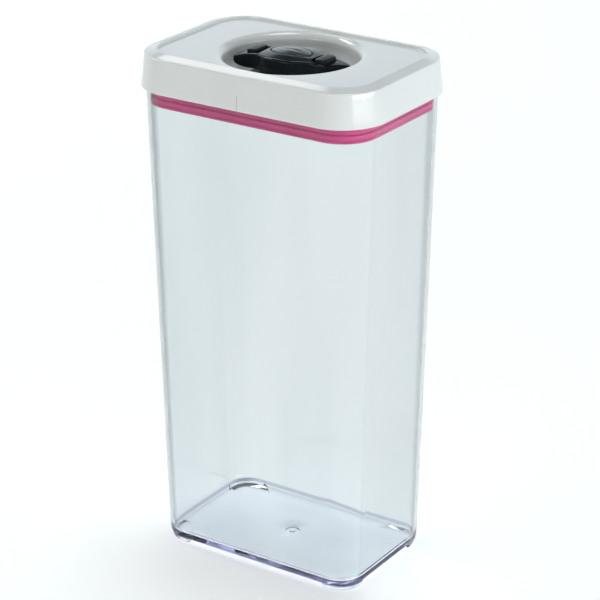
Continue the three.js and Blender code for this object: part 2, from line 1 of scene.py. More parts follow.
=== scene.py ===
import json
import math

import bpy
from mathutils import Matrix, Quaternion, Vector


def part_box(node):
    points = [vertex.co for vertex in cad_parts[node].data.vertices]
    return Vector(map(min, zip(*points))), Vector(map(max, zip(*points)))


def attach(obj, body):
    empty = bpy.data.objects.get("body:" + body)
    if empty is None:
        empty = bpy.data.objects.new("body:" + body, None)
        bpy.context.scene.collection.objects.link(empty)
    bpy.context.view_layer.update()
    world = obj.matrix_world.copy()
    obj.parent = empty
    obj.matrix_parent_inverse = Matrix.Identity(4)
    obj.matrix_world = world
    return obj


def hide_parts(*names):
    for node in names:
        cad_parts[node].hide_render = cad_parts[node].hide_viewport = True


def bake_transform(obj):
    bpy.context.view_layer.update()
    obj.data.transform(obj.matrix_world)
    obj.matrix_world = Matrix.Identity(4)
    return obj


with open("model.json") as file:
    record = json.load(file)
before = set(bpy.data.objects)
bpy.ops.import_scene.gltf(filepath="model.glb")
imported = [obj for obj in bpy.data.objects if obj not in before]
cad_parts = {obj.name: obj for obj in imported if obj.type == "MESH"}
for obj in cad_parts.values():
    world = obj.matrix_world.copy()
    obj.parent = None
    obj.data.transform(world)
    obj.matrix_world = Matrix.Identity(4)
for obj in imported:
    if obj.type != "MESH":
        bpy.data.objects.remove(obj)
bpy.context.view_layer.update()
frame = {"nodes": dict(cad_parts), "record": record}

# The visual model of the food canister: a clear tapered container, a glossy white lid with a
# round well, a magenta gasket and a dark twist handle. Shapes are worked out in millimetres and
# written in metres. Materials, lights and the camera are in metres.

MM = 0.001


def box_mm(node):
    """The lowest and highest corners of a CAD node, in millimetres."""
    low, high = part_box(node)
    return [value / MM for value in low], [value / MM for value in high]


# ---------------------------------------------------------------------------------------------
# Driving dimensions, from the CAD nodes' boxes where they can be
# ---------------------------------------------------------------------------------------------

BODY_HIGH = box_mm("container_body")[1]
LID_LOW, LID_HIGH = box_mm("lid_cover")
GASKET_LOW, GASKET_HIGH = box_mm("gasket")
PLATE_LOW, PLATE_HIGH = box_mm("pressure_plate")
PLUG_LOW, PLUG_HIGH = box_mm("plug_housing")
NUT_LOW, NUT_HIGH = box_mm("lift_nut")
HANDLE_LOW = box_mm("handle_shell")[0]
HANDLE_BASE_LOW, HANDLE_BASE_HIGH = box_mm("handle_base")
PAD_LOW, PAD_HIGH = box_mm("grip_pad_right")
BADGE_LOW, BADGE_HIGH = box_mm("handle_badge")

GAP = 0.3  # clearance between pieces, as in the CAD
FOOT_HEIGHT = 2.2
FOOT_REACH = 16
FOOT_END = 0.6  # length of the slope at each end of a foot
MOUTH_STRAIGHT = 8.6  # height of the straight part under the rim
RIM_Z = BODY_HIGH[2]
MOUTH_Z = RIM_Z - MOUTH_STRAIGHT
WALL = 1.8
FLOOR = 3
BASE = (129.5 / 2, 83.4 / 2, 15)  # half length, half width, corner radius
MOUTH = (BODY_HIGH[0], BODY_HIGH[1], 22)

SKIRT_Z = LID_LOW[2]
SKIRT = (LID_HIGH[0], LID_HIGH[1], 26.4)
SHOULDER = (73, 49.8, 24.2)
LID_TOP = LID_HIGH[2]
SHOULDER_Z = LID_TOP - 3.5
RIM_STEP = 1.3  # from the rim's crest down to the panel
PANEL_Z = LID_TOP - RIM_STEP
RIM_WIDTH = 6.8
BEVEL_SLOPE = 0.265
LIP_ROUND = 5
LIP_FALL = 4
WELL_RADIUS = 36.5
WELL_FLOOR_RADIUS = 25
WELL_FLOOR_Z = HANDLE_BASE_LOW[2] - 1.2
BEARING_RADIUS = 6.3

GASKET_THICK = 4.5
GASKET_SLOT = 2.6  # depth of the slot that holds the plate's edge
PLATE_THICK = 2

SHARP_ANGLE = math.radians(38)  # faces that meet at more than this have a crease

# ---------------------------------------------------------------------------------------------
# Outlines: every ring of the rounded-rectangle pieces uses the same directions from the centre
# ---------------------------------------------------------------------------------------------

EVEN_RAYS = 264
ROUND_RAYS = 96  # for the small round pieces and the pads
BADGE_RAYS = 120
LEAST_STEP = 0.09  # degrees between two directions, like the steps below
FOOT_END_STEPS = (-0.35, 0, 0.35)
MARK_ANGLE = 270  # the middle of the front
MARK_STEPS = (-0.55, -0.35, -0.2, 0.2, 0.35, 0.55)


def ray_angles():
    """Directions from the centre, closer together at the feet's ends and at the lid's mark."""
    angles = {round(360 * i / EVEN_RAYS, 4) for i in range(EVEN_RAYS)}
    for reach_x, reach_y in ((FOOT_REACH, 0), (0, FOOT_REACH)):
        end = math.degrees(math.atan2(BASE[1] - reach_y, BASE[0] - reach_x))
        for mirrored in (end, 180 - end, 180 + end, 360 - end):
            angles.update(round(mirrored + step, 4) for step in FOOT_END_STEPS)
    angles.update(round(MARK_ANGLE + step, 4) for step in MARK_STEPS)
    kept = []
    for angle in sorted(angles):
        if not kept or angle - kept[-1] > LEAST_STEP:
            kept.append(angle)
    return [math.radians(angle) for angle in kept]


RAYS = ray_angles()


def rectangle_radius(angle, outline, inset=0.0):
    """Distance from the centre to a rounded rectangle along a direction."""
    half_x, half_y, radius = (value - inset for value in outline)
    radius = max(radius, 0.2)
    c, s = abs(math.cos(angle)), abs(math.sin(angle))
    corner_x, corner_y = half_x - radius, half_y - radius
    if c > 1e-9 and half_x * s / c <= corner_y:
        return half_x / c
    if s > 1e-9 and half_y * c / s <= corner_x:
        return half_y / s
    along = c * corner_x + s * corner_y
    return along + math.sqrt(along * along - corner_x**2 - corner_y**2 + radius * radius)


def mixed(low, high, part):
    """A point part of the way from one to another."""
    return tuple(a + (b - a) * part for a, b in zip(low, high))


def smooth_step(value):
    """0 up to 0 and 1 from 1 on, with a smooth rise between them."""
    value = min(max(value, 0.0), 1.0)
    return value * value * (3 - 2 * value)


def rectangle_ring(outline, inset, z):
    """A ring of points on a rounded rectangle at a height."""
    points = []
    for angle in RAYS:
        distance = rectangle_radius(angle, outline, inset)
        points.append((distance * math.cos(angle), distance * math.sin(angle), z))
    return points


def circle_ring(radius, z, rays=RAYS):
    return [(radius * math.cos(angle), radius * math.sin(angle), z) for angle in rays]


def ring_between(first, second, part):
    """A ring part of the way from one to another."""
    return [mixed(a, b, part) for a, b in zip(first, second)]


def arc(centre, radius, start, end, steps):
    """(inset, z) pairs round part of a circle. 0 degrees points outwards and 90 upwards."""
    pairs = []
    for step in range(steps + 1):
        angle = math.radians(start + (end - start) * step / steps)
        pairs.append((centre[0] - radius * math.cos(angle), centre[1] + radius * math.sin(angle)))
    return pairs


def even_rays(count):
    return [2 * math.pi * i / count for i in range(count)]


# ---------------------------------------------------------------------------------------------
# Meshes
# ---------------------------------------------------------------------------------------------


def smooth(mesh):
    """Smooth shading, with creases where faces meet at more than SHARP_ANGLE."""
    mesh.shade_smooth()
    mesh.set_sharp_from_angle(angle=SHARP_ANGLE)


def finish_mesh(name, vertices, faces):
    """An object from vertices in millimetres."""
    mesh = bpy.data.meshes.new(name)
    mesh.from_pydata([Vector(v) * MM for v in vertices], [], faces)
    mesh.validate()
    smooth(mesh)
    piece = bpy.data.objects.new(name, mesh)
    bpy.context.scene.collection.objects.link(piece)
    return piece


def skin(name, rings, loop=False):
    """A closed surface through rings, up the outside and down the inside.

    It ends in a fan to each end ring's middle, unless loop joins the last ring to the first.
    """
    count = len(rings[0])
    vertices = [point for ring in rings for point in ring]
    faces = []
    spans = len(rings) if loop else len(rings) - 1
    for span in range(spans):
        low = span * count
        high = ((span + 1) % len(rings)) * count
        for i in range(count):
            j = (i + 1) % count
            faces.append((low + i, low + j, high + j, high + i))
    if not loop:
        last = len(vertices) - count
        for ring, start, flip in ((rings[0], 0, True), (rings[-1], last, False)):
            centre = len(vertices)
            vertices.append(tuple(sum(point[axis] for point in ring) / count for axis in range(3)))
            for i in range(count):
                j = (i + 1) % count
                face = (centre, start + j, start + i) if flip else (centre, start + i, start + j)
                faces.append(face)
    return finish_mesh(name, vertices, faces)


def turned(name, profile, loop=False):
    """A solid of revolution from (radius, z) pairs, from the bottom up the outside."""
    rays = even_rays(ROUND_RAYS)
    return skin(name, [circle_ring(radius, z, rays) for radius, z in profile], loop)


# ---------------------------------------------------------------------------------------------
# Materials
# ---------------------------------------------------------------------------------------------


class Tree:
    """A node tree with short ways to add to it."""

    # A Mix node has sockets for each data type under the same names; these are the colours'.
    MIX_FIRST = 6
    MIX_SECOND = 7
    MIX_RESULT = 2

    def __init__(self, tree):
        self.tree = tree
        self.coordinates = self.add("ShaderNodeTexCoord").outputs

    def add(self, kind, **values):
        node = self.tree.nodes.new(kind)
        for key, value in values.items():
            setattr(node, key, value)
        return node

    def link(self, source, target):
        self.tree.links.new(source, target)

    def feed(self, value, target):
        """Gives an input another node's output, or else a number or a colour."""
        if isinstance(value, bpy.types.NodeSocket):
            self.link(value, target)
        else:
            target.default_value = value

    def axes(self, vector):
        """A vector's X, Y and Z outputs."""
        split = self.add("ShaderNodeSeparateXYZ")
        self.link(vector, split.inputs[0])
        return split.outputs

    def ramp(self, value, low, high, from_low=0.3, from_high=0.7, **values):
        """A value spread between two others."""
        node = self.add("ShaderNodeMapRange", **values)
        node.inputs["From Min"].default_value = from_low
        node.inputs["From Max"].default_value = from_high
        node.inputs["To Min"].default_value = low
        node.inputs["To Max"].default_value = high
        self.link(value, node.inputs["Value"])
        return node.outputs["Result"]

    def mix(self, share, first, second):
        """A mixture of two colours."""
        node = self.add("ShaderNodeMix", data_type="RGBA")
        self.link(share, node.inputs["Factor"])
        self.feed(first, node.inputs[self.MIX_FIRST])
        self.feed(second, node.inputs[self.MIX_SECOND])
        return node.outputs[self.MIX_RESULT]

    def maths(self, operation, first, second=0.0):
        node = self.add("ShaderNodeMath", operation=operation)
        self.feed(first, node.inputs[0])
        self.feed(second, node.inputs[1])
        return node.outputs[0]


class Nodes(Tree):
    """A material's node tree. Positions and scales in it are in metres."""

    def __init__(self, name):
        self.material = bpy.data.materials.new(name)
        self.material.use_nodes = True
        super().__init__(self.material.node_tree)
        self.shader = self.tree.nodes["Principled BSDF"]
        self.output = self.tree.nodes["Material Output"]
        self.place = self.coordinates["Object"]

    def noise(self, scale, detail=3.0, stretch=(1, 1, 1), distortion=0.0):
        """Noise with a scale in cycles per metre."""
        mapping = self.add("ShaderNodeMapping")
        mapping.inputs["Scale"].default_value = stretch
        self.link(self.place, mapping.inputs["Vector"])
        node = self.add("ShaderNodeTexNoise")
        node.inputs["Scale"].default_value = scale
        node.inputs["Detail"].default_value = detail
        node.inputs["Distortion"].default_value = distortion
        self.link(mapping.outputs["Vector"], node.inputs["Vector"])
        return node.outputs["Fac"]

    def colours(self, value, first, second, from_low=0.3, from_high=0.7):
        """A colour that changes from one to another with a value."""
        node = self.add("ShaderNodeValToRGB")
        node.color_ramp.elements[0].position = from_low
        node.color_ramp.elements[0].color = (*first, 1)
        node.color_ramp.elements[1].position = from_high
        node.color_ramp.elements[1].color = (*second, 1)
        self.link(value, node.inputs["Fac"])
        return node.outputs["Color"]

    def bump(self, height, strength, distance):
        node = self.add("ShaderNodeBump")
        node.inputs["Strength"].default_value = strength
        node.inputs["Distance"].default_value = distance
        self.link(height, node.inputs["Height"])
        return node.outputs["Normal"]

    def near_corner(self):
        """1 in the container's four corners and 0 between them."""
        place = self.axes(self.place)
        shares = []
        for axis, low, high in (("X", 0.052, 0.058), ("Y", 0.028, 0.034)):
            reach = self.maths("ABSOLUTE", place[axis])
            shares.append(self.ramp(reach, 0, 1, low, high))
        return self.maths("MULTIPLY", *shares)

    def painted_base_shade_share(self):
        """1 on the rounded edge between the container's walls and its underside, where painted
        shade goes.
        """
        height = self.axes(self.place)["Z"]
        above_feet = self.ramp(height, 0, 1, 0.0018, 0.0026)
        below_wall = self.ramp(height, 1, 0, 0.0047, 0.0052)
        share = self.maths("MULTIPLY", above_feet, below_wall)
        facing = self.axes(self.add("ShaderNodeNewGeometry").outputs["Normal"])
        tilt = self.maths("ABSOLUTE", facing["Z"])
        return self.maths("MULTIPLY", share, self.ramp(tilt, 1, 0, 0.75, 0.95))

    def set(self, **values):
        """Sets the shader's own sockets, with _ for each space in a name."""
        for key, value in values.items():
            self.shader.inputs[key.replace("_", " ")].default_value = value

    def surface(self, shade, roughness, relief, **values):
        """An even colour, roughness and surface with noise in each, then the set values.

        Each of the three is the values for noise and two ends: colours, roughnesses, or the
        bump's strength and its distance in metres.
        """
        noise, first, second = shade
        self.link(self.colours(self.noise(*noise), first, second), self.shader.inputs["Base Color"])
        noise, low, high = roughness
        self.link(self.ramp(self.noise(*noise), low, high), self.shader.inputs["Roughness"])
        noise, strength, distance = relief
        normal = self.bump(self.noise(*noise), strength, distance)
        self.link(normal, self.shader.inputs["Normal"])
        self.set(**values)
        return self.material


def clear_plastic():
    n = Nodes("clear_plastic")
    streaks = n.noise(17, 2, (1, 1, 0.12))
    face = n.colours(streaks, (0.82, 0.853, 0.857), (0.875, 0.902, 0.902), 0.38, 0.62)
    # Walls seen at a slant are painted darker. A little of it is the longer path through the
    # plastic; most of it is painted shade.
    weight = n.add("ShaderNodeLayerWeight")
    weight.inputs["Blend"].default_value = 0.5
    slant = weight.outputs["Facing"]
    # Each corner gets a band of painted shade where it turns away.
    corner = n.near_corner()
    painted_corner_shade = n.maths("MULTIPLY", n.ramp(slant, 0, 1, 0.34, 0.46), corner)
    painted_edge_shade_share = n.maths("MAXIMUM", n.ramp(slant, 0, 1, 0.45, 0.9), painted_corner_shade)
    # The shares mix the face colour toward a painted dark grey.
    walls = n.mix(painted_edge_shade_share, face, (0.42, 0.45, 0.445, 1))
    # The base's rounded edge is painted a dark purple, darkest at the corners: painted shade for
    # the shadow under the base, seen through the edge.
    painted_base_shade = n.colours(corner, (0.4, 0.42, 0.53), (0.12, 0.145, 0.21), 0, 1)
    n.link(n.mix(n.painted_base_shade_share(), walls, painted_base_shade), n.shader.inputs["Base Color"])
    smudges = n.noise(38, 3, distortion=0.4)
    n.link(n.ramp(smudges, 0.008, 0.03), n.shader.inputs["Roughness"])
    waves = n.bump(n.noise(14, 1, (1, 1, 0.25)), 0.03, 0.0004)
    n.link(waves, n.shader.inputs["Normal"])
    n.set(Transmission_Weight=1.0, IOR=1.36)
    # Light on its way to a shaded place goes straight through, only a little dimmed.
    through = n.add("ShaderNodeBsdfTransparent")
    through.inputs["Color"].default_value = (0.945, 0.95, 0.955, 1)
    path = n.add("ShaderNodeLightPath")
    either = n.add("ShaderNodeMixShader")
    n.link(path.outputs["Is Shadow Ray"], either.inputs[0])
    n.link(n.shader.outputs[0], either.inputs[1])
    n.link(through.outputs[0], either.inputs[2])
    n.link(either.outputs[0], n.output.inputs["Surface"])
    depth = n.add("ShaderNodeVolumeAbsorption")
    depth.inputs["Color"].default_value = (0.36, 0.3, 0.72, 1)
    depth.inputs["Density"].default_value = 11
    n.link(depth.outputs[0], n.output.inputs["Volume"])
    return n.material


# For each material: shade, roughness, relief and set values, as Nodes.surface takes them.
OPAQUE = {
    "white_plastic": (
        ((30, 3), (0.52, 0.548, 0.553), (0.54, 0.567, 0.572)),
        ((55, 4), 0.1, 0.16),
        ((320, 2), 0.03, 0.00008),
        {"IOR": 1.5},
    ),
    "natural_plastic": (
        ((40, 3), (0.72, 0.73, 0.71), (0.77, 0.78, 0.76)),
        ((90, 4), 0.42, 0.56),
        ((2200, 3), 0.12, 0.00005),
        {},
    ),
    "gasket_silicone": (
        ((60, 3), (0.46, 0.036, 0.165), (0.5, 0.044, 0.185)),
        ((120, 4), 0.32, 0.48),
        ((1600, 3), 0.08, 0.00005),
        {"Specular_IOR_Level": 0.2},
    ),
    "handle_plastic": (
        ((70, 4), (0.0025, 0.004, 0.0055), (0.005, 0.0075, 0.0095)),
        ((160, 5), 0.08, 0.15),
        ((500, 2, (1, 0.08, 1)), 0.04, 0.00004),
        {"IOR": 1.5, "Specular_IOR_Level": 0.2, "Specular_Tint": (0.84, 0.96, 1.0, 1)},
    ),
    "badge_plastic": (
        ((90, 4), (0.012, 0.021, 0.026), (0.016, 0.026, 0.032)),
        ((200, 4), 0.12, 0.2),
        ((900, 2), 0.05, 0.00003),
        {"Specular_IOR_Level": 0.4, "Specular_Tint": (0.8, 0.94, 1.0, 1)},
    ),
    "pad_plastic": (
        ((110, 4), (0.006, 0.0085, 0.0095), (0.01, 0.013, 0.014)),
        ((260, 4), 0.2, 0.3),
        ((1400, 2), 0.08, 0.00004),
        {"Specular_IOR_Level": 0.08, "Specular_Tint": (0.86, 0.97, 1.0, 1)},
    ),
    "acetal": (
        ((80, 3), (0.76, 0.76, 0.73), (0.82, 0.82, 0.8)),
        ((150, 3), 0.3, 0.42),
        ((1500, 3), 0.1, 0.00004),
        {},
    ),
    "black_rubber": (
        ((200, 3), (0.012, 0.012, 0.012), (0.024, 0.024, 0.023)),
        ((300, 3), 0.5, 0.68),
        ((2500, 3), 0.2, 0.00005),
        {},
    ),
    "plain_steel": (
        ((160, 4), (0.5, 0.51, 0.52), (0.62, 0.62, 0.62)),
        ((700, 3, (1, 1, 0.1)), 0.22, 0.38),
        ((1400, 2, (1, 1, 0.1)), 0.1, 0.00003),
        {"Metallic": 1.0},
    ),
}

MATERIALS = {"clear_plastic": clear_plastic()}
for material_name, (shade, roughness, relief, values) in OPAQUE.items():
    slot_name = "steel" if material_name == "plain_steel" else material_name
    MATERIALS[slot_name] = Nodes(material_name).surface(shade, roughness, relief, **values)

replaced_nodes = set()


def dress(piece, slot, body, *nodes):
    """Gives a piece its material and slot, its body, and the CAD nodes that it stands for."""
    piece.data.materials.clear()
    piece.data.materials.append(MATERIALS[slot])
    if body is not None:
        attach(piece, body)
    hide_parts(*nodes)
    replaced_nodes.update(nodes)


# ---------------------------------------------------------------------------------------------
# Container
# ---------------------------------------------------------------------------------------------


def body_outline(z):
    """The container's outside, which widens evenly from the feet up to the mouth."""
    part = min(max((z - FOOT_HEIGHT) / (MOUTH_Z - FOOT_HEIGHT), 0.0), 1.0)
    return mixed(BASE, MOUTH, part)


def body_ring(inset, z):
    return rectangle_ring(body_outline(z), inset, z)


def mouth_ring(inset, z):
    """A ring at a distance from the mouth's inner wall."""
    return body_ring(WALL + inset, z)


def foot_share(angle):
    """1 where a foot stands, 0 between the feet, with a short slope at each end."""
    distance = rectangle_radius(angle, BASE)
    beyond_x = abs(distance * math.cos(angle)) - (BASE[0] - FOOT_REACH)
    beyond_y = abs(distance * math.sin(angle)) - (BASE[1] - FOOT_REACH)
    return smooth_step(min(beyond_x, beyond_y) / FOOT_END + 0.5)


def foot_ring(foot, plain):
    """A ring whose (inset, z) is one pair on the feet and another between them."""
    points = []
    for angle in RAYS:
        inset, z = mixed(plain, foot, foot_share(angle))
        distance = rectangle_radius(angle, BASE, inset)
        points.append((distance * math.cos(angle), distance * math.sin(angle), z))
    return points


def make_container():
    """One closed surface, from the middle of the underside round to the middle of the floor."""
    under = FOOT_HEIGHT
    middle = 20  # radius of the circle where the rings turn from round to rectangular
    gate_mark = [(1.0, 0.1), (1.6, 0.35), (2.6, 0.5), (3.6, 0.45), (4.2, 0.1), (4.6, 0)]
    rings = [circle_ring(radius, under + rise) for radius, rise in gate_mark]
    rings += [
        circle_ring(middle, under),
        rectangle_ring(BASE, 12, under),
        foot_ring((4.2, under), (4.2, under)),
        foot_ring((3.8, under - 0.2), (3.9, under)),
        foot_ring((3.3, 1.0), (3.6, under)),
        foot_ring((2.9, 0.3), (3.3, under)),
        foot_ring((2.5, 0), (3.0, under)),
        foot_ring((1.9, 0), (2.4, under + 0.06)),
        foot_ring((1.6, 0.3), (1.9, under + 0.2)),
        foot_ring((1.35, 0.9), (1.4, under + 0.42)),
        foot_ring((1.15, 1.6), (0.95, under + 0.8)),
        foot_ring((0.75, 2.9), (0.5, under + 1.35)),
        foot_ring((0.3, 4.0), (0.2, under + 2)),
    ]
    # Up the outside, over the rim, down the inside and round into the floor.
    heights = [30, 60, 95, 130, 165, 200, 235, MOUTH_Z]
    rings += [body_ring(0, z) for z in [5.2, 12, *heights]]
    rim = RIM_Z - WALL / 2
    rings += [body_ring(inset, z) for inset, z in arc((WALL / 2, rim), WALL / 2, 0, 180, 8)]
    rings += [body_ring(WALL, z) for z in [*reversed(heights), 14]]
    floor_top = FOOT_HEIGHT + FLOOR
    round_inside = 4
    corner = (WALL + round_inside, floor_top + round_inside)
    rings += [body_ring(inset, z) for inset, z in arc(corner, round_inside, 0, -90, 8)]
    rings += [rectangle_ring(BASE, 14, floor_top), circle_ring(middle, floor_top)]
    dress(skin("clear_container", rings), "clear_plastic", "container", "container_body")


# ---------------------------------------------------------------------------------------------
# Lid cover
# ---------------------------------------------------------------------------------------------


WELL_THICK = 2


def well_profile(offset, steps):
    """(radius, z) pairs up the bowl, thickened outwards by an offset."""
    height = PANEL_Z - LIP_FALL - WELL_FLOOR_Z
    pairs = []
    for step in range(steps + 1):
        angle = math.pi / 2 * step / steps
        radius = WELL_FLOOR_RADIUS + (WELL_RADIUS - WELL_FLOOR_RADIUS) * math.sin(angle)
        z = WELL_FLOOR_Z + height * (1 - math.cos(angle))
        pairs.append((radius + offset * math.sin(angle), z - offset * math.cos(angle)))
    return pairs


MARK_HEIGHT = 8
MARK_DEPTH = 0.45


def mark_depth(angle, z):
    """Depth of the short upright line moulded into the middle of the skirt's front."""
    if z > SKIRT_Z + MARK_HEIGHT:
        return 0.0
    across = abs(math.degrees(angle) - MARK_ANGLE)
    half_width, slope = 0.15, 0.25  # degrees
    return MARK_DEPTH * (1 - smooth_step((across - half_width) / slope))


def skirt_outline(z):
    part = (z - SKIRT_Z) / (SHOULDER_Z - SKIRT_Z)
    return mixed(SKIRT, SHOULDER, part)


def skirt_ring(inset, z):
    """A ring on the outside of the skirt, with the mark's line in it."""
    outline = skirt_outline(z)
    points = []
    for angle in RAYS:
        distance = rectangle_radius(angle, outline, inset) - mark_depth(angle, z)
        points.append((distance * math.cos(angle), distance * math.sin(angle), z))
    return points


def make_lid():
    """One closed surface: up the skirt, over the rim and the panel, through the well and back."""
    edge = 0.6
    rings = [skirt_ring(inset, z) for inset, z in arc((edge, SKIRT_Z + edge), edge, -90, 0, 4)]
    for height in (4, MARK_HEIGHT - 0.1, MARK_HEIGHT + 0.1, 12):
        rings.append(skirt_ring(0, SKIRT_Z + height))
    rings.append(skirt_ring(0, SHOULDER_Z - 1.5))
    # The rim: a small round at the skirt's top, a flat bevel up to the crest, and a step down.
    bevel = [(inset, LID_TOP - BEVEL_SLOPE * (RIM_WIDTH - inset)) for inset in (1.8, 2, 6.4, 6.6)]
    bevel_low = bevel[0][1]
    edge_round = [(0.1, -0.95), (0.2, -0.6), (0.45, -0.32), (0.85, -0.18), (1.3, -0.1)]
    rings += [rectangle_ring(SHOULDER, inset, bevel_low + drop) for inset, drop in edge_round]
    rings += [rectangle_ring(SHOULDER, inset, z) for inset, z in bevel]
    step_down = [(0, 0), (0.25, 0.1), (0.35, 0.35), (0.4, 0.95), (0.55, 1.2), (0.85, RIM_STEP)]
    for inset, drop in step_down:
        rings.append(rectangle_ring(SHOULDER, RIM_WIDTH + inset, LID_TOP - drop))
    panel_edge = rectangle_ring(SHOULDER, RIM_WIDTH + 1.6, PANEL_Z)
    rings.append(panel_edge)
    lip_outer = circle_ring(WELL_RADIUS + LIP_ROUND + 0.3, PANEL_Z)
    for part in (0.25, 0.5, 0.75):
        rings.append(ring_between(panel_edge, lip_outer, part))
    rings.append(lip_outer)
    # The well's lip is most of a quarter round from the panel down into the bowl.
    lip_steps = 9
    for lip_step in range(1, lip_steps):
        angle = math.pi / 2 * lip_step / lip_steps
        radius = WELL_RADIUS + LIP_ROUND * (1 - math.sin(angle))
        rings.append(circle_ring(radius, PANEL_Z - LIP_FALL * (1 - math.cos(angle))))
    for radius, z in reversed(well_profile(0, 20)):
        rings.append(circle_ring(radius, z))
    rings += [
        circle_ring(BEARING_RADIUS + 0.5, WELL_FLOOR_Z),
        circle_ring(BEARING_RADIUS, WELL_FLOOR_Z - 0.4),
        circle_ring(BEARING_RADIUS, WELL_FLOOR_Z - 1.6),
        circle_ring(BEARING_RADIUS + 0.4, WELL_FLOOR_Z - 2),
    ]
    for radius, z in well_profile(WELL_THICK, 10):
        rings.append(circle_ring(radius, z))
    # Inside: the ceiling, the ledge that rests on the container's rim, and the skirt.
    panel_thick = 2.2
    skirt_thick = 1.7
    ceiling = PANEL_Z - panel_thick
    ledge_z = RIM_Z + GAP
    ledge_inside, ledge_outside = 1.3, 0.4  # reach to each side of the mouth's outline
    inner = tuple(value - ledge_inside for value in MOUTH)
    outer = tuple(value + ledge_outside for value in MOUTH)
    skirt_inside = (SKIRT[0] - skirt_thick, SKIRT[1] - skirt_thick, 24)
    rings += [
        circle_ring(WELL_RADIUS + 3.4, ceiling - 0.6),
        rectangle_ring(inner, 0.6, ceiling),
        rectangle_ring(inner, 0, ceiling - 0.6),
        rectangle_ring(inner, 0, ledge_z),
        rectangle_ring(outer, 0, ledge_z),
        rectangle_ring(skirt_inside, 0, SKIRT_Z + 1),
        rectangle_ring(skirt_inside, -0.4, SKIRT_Z),
    ]
    dress(skin("lid_shell", rings, loop=True), "white_plastic", "lid", "lid_cover")


# ---------------------------------------------------------------------------------------------
# Plug, gasket and pressure plate
# ---------------------------------------------------------------------------------------------


def make_plug():
    """The tray under the lid, with a flange above the gasket."""
    flange_z = GASKET_HIGH[2] + GAP
    flange_top = flange_z + 1.8
    top = PLUG_HIGH[2]
    bottom = PLUG_LOW[2]
    core = GAP + GASKET_THICK + GAP
    tray_floor = bottom + 2.2
    tray_top = tray_floor + 1.5
    hole = 14
    outside = [
        (core + 0.3, bottom),
        (core, bottom + 0.3),
        (core, flange_z - 0.4),
        (core - 0.4, flange_z),
        (1.1, flange_z),
        (0.8, flange_z + 0.3),
        (0.8, flange_top - 0.3),
        (1.1, flange_top),
        (1.9, flange_top),
        (1.6, flange_top + 0.4),
        (1.6, top - 0.4),
        (2.0, top),
    ]
    inside = [
        (2.8, top),
        (3.2, top - 0.4),
        (3.2, flange_top + 0.6),
        (core + 1.2, flange_top),
        (core + 1.6, flange_top - 0.5),
        (core + 1.6, tray_top + 1),
        (core + 2.6, tray_top),
    ]
    under = [
        (core + 2.6, tray_floor),
        (core + 1.6, tray_floor - 0.8),
        (core + 1.6, bottom + 0.3),
        (core + 1.3, bottom),
    ]
    rings = [mouth_ring(inset, z) for inset, z in outside + inside]
    rings += [circle_ring(hole + 6, tray_top), circle_ring(hole + 0.3, tray_top)]
    rings += [circle_ring(hole, tray_top - 0.3), circle_ring(hole, tray_floor + 0.3)]
    rings += [circle_ring(hole + 0.3, tray_floor), circle_ring(hole + 6, tray_floor)]
    rings += [mouth_ring(inset, z) for inset, z in under]
    dress(skin("plug_tray", rings, loop=True), "natural_plastic", "lid", "plug_housing")


def make_gasket():
    """The gasket's outer face has a fine line low down and a groove above the middle."""
    low = GASKET_LOW[2]
    top = GASKET_HIGH[2]
    groove = low + 4.9
    slot_top = PLATE_LOW[2] + PLATE_THICK + GAP
    slot_low = PLATE_LOW[2] - GAP
    thick, slot = GASKET_THICK, GASKET_SLOT
    lip = 6.5  # how far the lower lip reaches in under the plate
    section = [
        (1.3, low),
        (0.75, low + 0.12),
        (0.3, low + 0.45),
        (0.06, low + 1.0),
        (0, low + 1.5),
        (0.15, low + 1.65),
        (0.6, low + 1.8),
        (0.6, low + 2.1),
        (0.15, low + 2.25),
        (0, low + 2.4),
        (0, groove - 1.1),
        (0.06, groove - 0.75),
        (0.3, groove - 0.4),
        (1.1, groove - 0.2),
        (1.6, groove),
        (1.7, groove + 0.4),
        (1.6, groove + 0.8),
        (1.1, groove + 1.0),
        (0.3, groove + 1.2),
        (0.06, groove + 1.55),
        (0, groove + 1.9),
        (0, top - 1.4),
        (0.1, top - 0.8),
        (0.4, top - 0.3),
        (0.9, top),
        (thick - 0.3, top),
        (thick, top - 0.3),
        (thick, slot_top + 0.3),
        (thick - 0.3, slot_top),
        (slot + 0.3, slot_top),
        (slot, slot_top - 0.3),
        (slot, slot_low + 0.3),
        (slot + 0.3, slot_low),
        (lip - 0.3, slot_low),
        (lip, slot_low - 0.3),
        (lip - 0.05, low + 0.7),
        (lip - 0.4, low + 0.15),
        (lip - 1.0, low),
    ]
    rings = [mouth_ring(GAP + inset, z) for inset, z in section]
    gasket = skin("seal_ring", rings, loop=True)
    dress(gasket, "gasket_silicone", None, "gasket")
    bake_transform(gasket)


